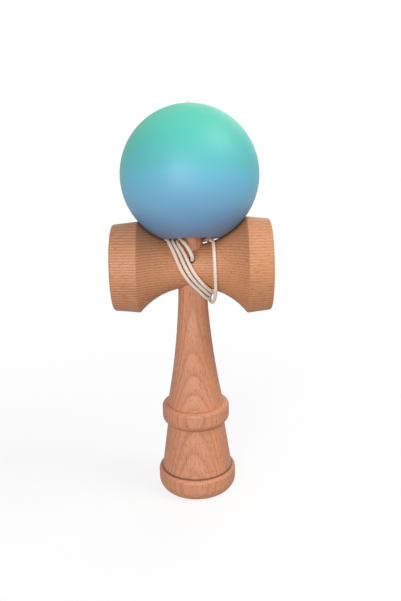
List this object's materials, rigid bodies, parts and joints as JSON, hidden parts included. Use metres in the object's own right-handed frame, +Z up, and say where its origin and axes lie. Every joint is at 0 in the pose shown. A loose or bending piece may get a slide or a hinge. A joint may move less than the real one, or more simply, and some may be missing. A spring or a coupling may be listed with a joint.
{
  "type": "kendama",
  "caption": "Wooden cup-and-ball toy: a turned handle with a spike and a crossed double cup, a drilled painted ball standing on the spike, and its string wound round the cups' waist.",
  "frame": {"origin": "centre of the base cup's rim, on the surface that the toy stands on", "axes": "+Z up the handle to the spike, +X along the cross-piece to the big cup, +Y away from the side with the string hole"},
  "size_m": [0.069, 0.0617, 0.177],
  "materials": {
    "ken_beech": "oiled beech, grain along the handle",
    "sarado_beech": "oiled beech, grain along the cross-piece",
    "tama_paint": "satin paint, mint at the string hole fading to blue at the spike hole",
    "bead_wood": "bare wood",
    "string_cotton": "twisted cord, off-white"
  },
  "bodies": {
    "ken": {"ken": "ken_beech", "ken_knot": "string_cotton"},
    "sarado": {"sarado": "sarado_beech", "string_winding": "string_cotton"},
    "bead": {"string_bead": "bead_wood", "bead_knot": "string_cotton", "string_run": "string_cotton"},
    "tama": {"tama": "tama_paint"}
  },
  "joints": [
    {"name": "sarado_slide", "type": "slide", "parent": "ken", "child": "sarado", "axis": [0, 0, 1], "range_m": [0, 0.07]},
    {"name": "tama_lift", "type": "slide", "parent": "sarado", "child": "bead", "axis": [0, 0, 1], "range_m": [0, 0.048]},
    {"name": "tama_spin", "type": "hinge", "parent": "bead", "child": "tama", "pos_m": [0, 0.004, 0.14625], "axis": [0, 0.225, 0.9744], "continuous": true}
  ]
}
